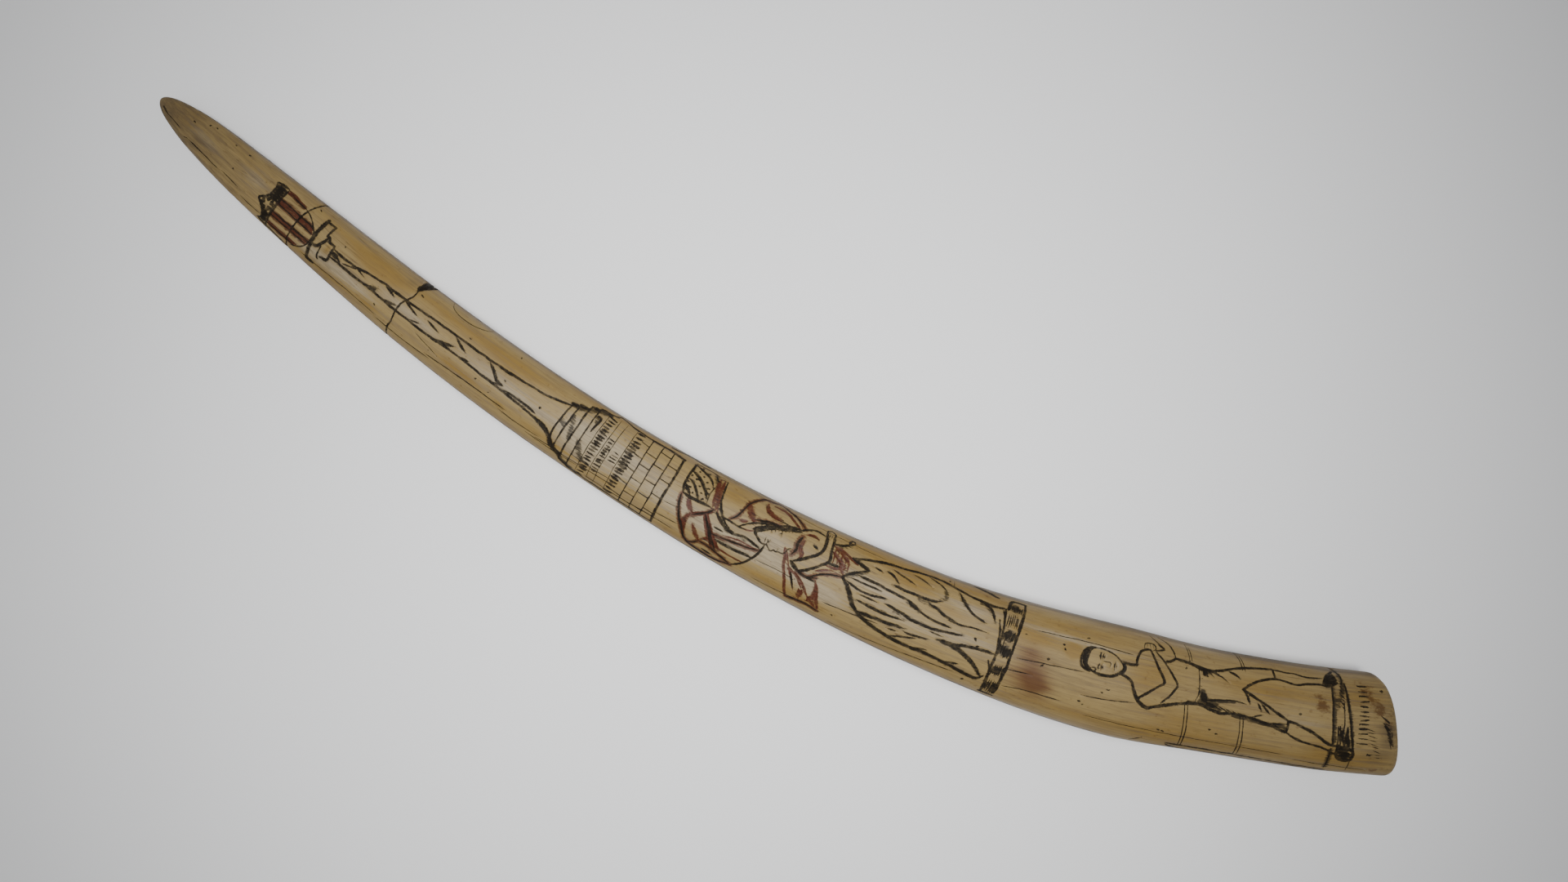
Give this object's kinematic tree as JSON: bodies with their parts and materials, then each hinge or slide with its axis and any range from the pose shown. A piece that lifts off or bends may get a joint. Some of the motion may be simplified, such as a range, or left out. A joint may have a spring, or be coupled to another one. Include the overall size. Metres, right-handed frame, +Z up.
{
  "type": "scrimshaw walrus tusk",
  "caption": "Curved walrus tusk of solid ivory, sawn at the base and engraved along one broad face, lying on its side as a display piece.",
  "frame": {"origin": "centre of the footprint's box, on the surface the tusk lies on", "axes": "+X along the chord from the tip to the sawn base, -Y towards the outer side of the bend, +Z up through the engraved broad face"},
  "size_m": [0.6144, 0.0896, 0.0333],
  "materials": {
    "ivory": "aged polished ivory, engraved and rubbed with black and red-brown pigment"
  },
  "bodies": {
    "root": {"tusk": "ivory"}
  },
  "joints": []
}
